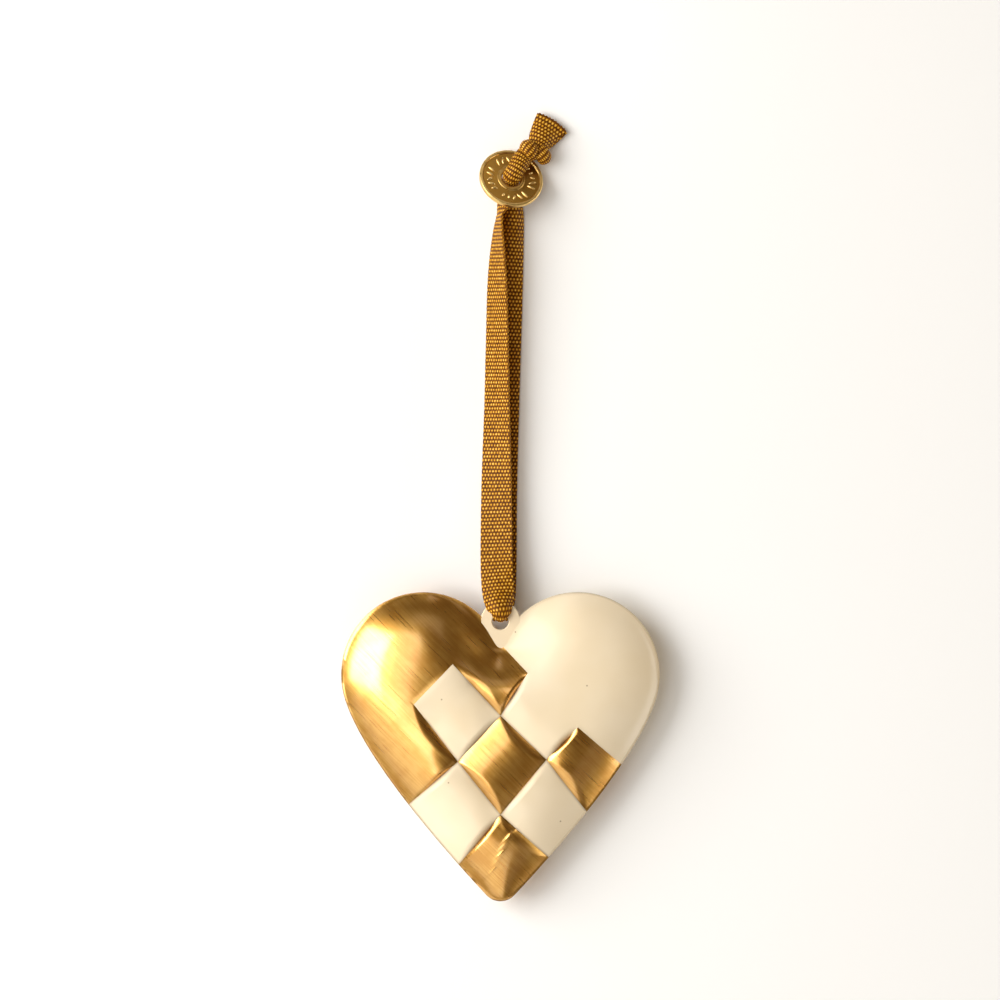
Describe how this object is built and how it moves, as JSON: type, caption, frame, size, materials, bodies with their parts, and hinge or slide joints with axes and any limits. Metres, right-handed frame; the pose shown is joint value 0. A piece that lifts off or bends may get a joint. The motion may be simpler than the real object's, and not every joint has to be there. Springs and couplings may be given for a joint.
{
  "type": "hanging heart ornament",
  "caption": "Puffed metal heart with a braided surface in gold and cream paint, a tab with a hole in the notch, and a looped ribbon knotted through a small brass disc.",
  "frame": {"origin": "middle of the heart's outline, on the surface that its back lies on", "axes": "+Z out of the heart's front, +Y from the heart's tip to its notch and on along the ribbon, +X to the right of the front"},
  "size_m": [0.0668, 0.1659, 0.0124],
  "materials": {
    "heart_paint": "satin gold paint with glossy cream strips",
    "ribbon_cloth": "plain-woven bronze gold thread",
    "disc_brass": "stamped, aged and lightly polished"
  },
  "bodies": {
    "root": {"heart": "heart_paint", "ribbon": "ribbon_cloth", "disc": "disc_brass"}
  },
  "joints": []
}
